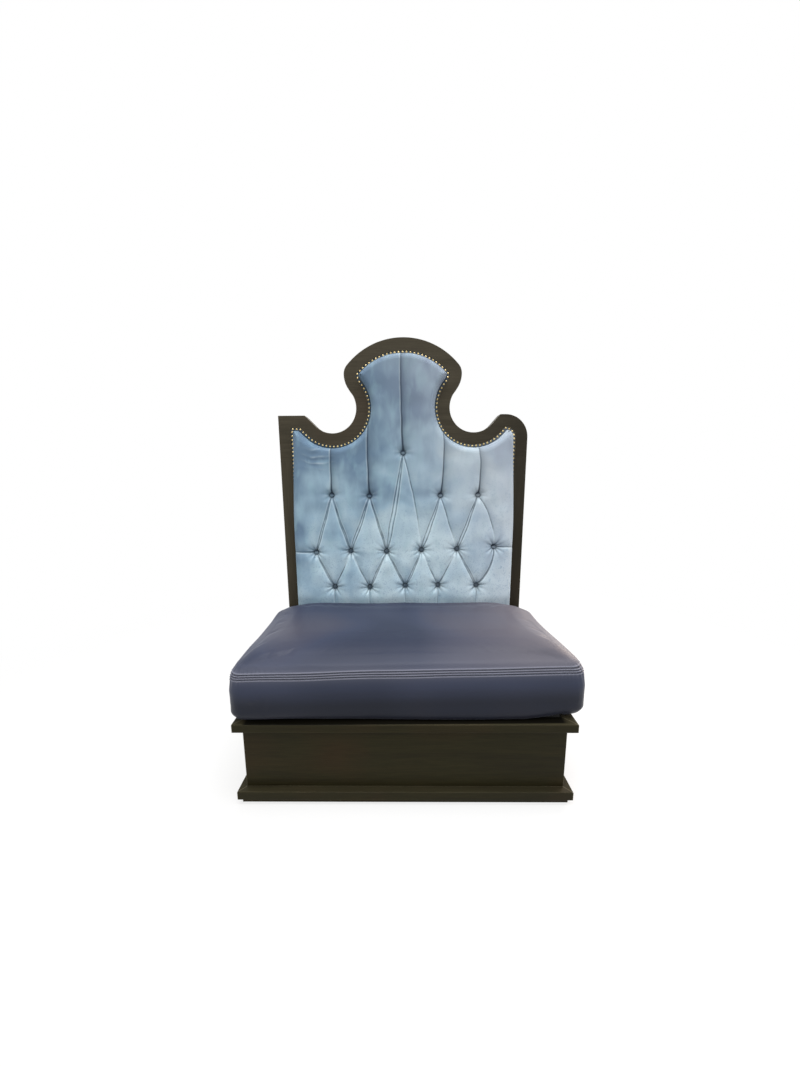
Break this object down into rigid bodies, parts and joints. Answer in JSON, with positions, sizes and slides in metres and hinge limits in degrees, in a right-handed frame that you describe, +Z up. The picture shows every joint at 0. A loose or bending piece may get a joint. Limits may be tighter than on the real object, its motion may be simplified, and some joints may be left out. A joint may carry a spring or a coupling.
{
  "type": "banquette",
  "caption": "High-backed banquette: a shaped, deep-tufted back in a wooden frame behind a panelled box base with a loose, crowned seat cushion.",
  "frame": {"origin": "on the floor, in the middle of the width of the base and halfway between the front of the rails and the rear of the back", "axes": "+Z up, +X to the right as seen from the front, +Y to the rear"},
  "size_m": [1.1943, 0.6356, 1.696],
  "materials": {
    "dark_wood": "satin",
    "plywood": "matte",
    "back_plywood": "matte",
    "foam": "matte",
    "velvet": "satin",
    "button_velvet": "satin",
    "nail_brass": "satin",
    "leather": "satin",
    "black_cloth": "matte",
    "steel": "satin"
  },
  "bodies": {
    "base_and_back": {"plinth_front": "dark_wood", "plinth_rear": "dark_wood", "plinth_left": "dark_wood", "plinth_right": "dark_wood", "lower_ledge_front": "dark_wood", "lower_ledge_left": "dark_wood", "lower_ledge_right": "dark_wood", "lower_ledge_rear": "dark_wood", "seat_rail_front": "dark_wood", "seat_rail_left": "dark_wood", "seat_rail_right": "dark_wood", "seat_rail_rear": "dark_wood", "front_panel": "dark_wood", "left_side_panel": "dark_wood", "right_side_panel": "dark_wood", "crest_frame": "dark_wood", "left_stile": "dark_wood", "right_stile": "dark_wood", "pad_rail": "dark_wood", "base_rear_panel": "plywood", "centre_divider": "plywood", "corner_blocks": "plywood", "bolting_rail": "plywood", "frame_dowels": "plywood", "back_panel": "back_plywood", "pad_board": "plywood", "back_battens": "plywood", "back_foam": "foam", "back_cover": "velvet", "tuft_buttons": "button_velvet", "nail_heads": "nail_brass", "joining_bolts": "steel", "joining_washers": "steel", "tee_nuts": "steel"},
    "seat": {"seat_board": "black_cloth", "dust_cover": "black_cloth", "locating_blocks": "plywood", "seat_foam": "foam", "seat_cover": "leather"}
  },
  "joints": [
    {"name": "seat_lift", "type": "slide", "parent": "base_and_back", "child": "seat", "axis": [0, 0, 1], "range_m": [0, 0.15]}
  ]
}
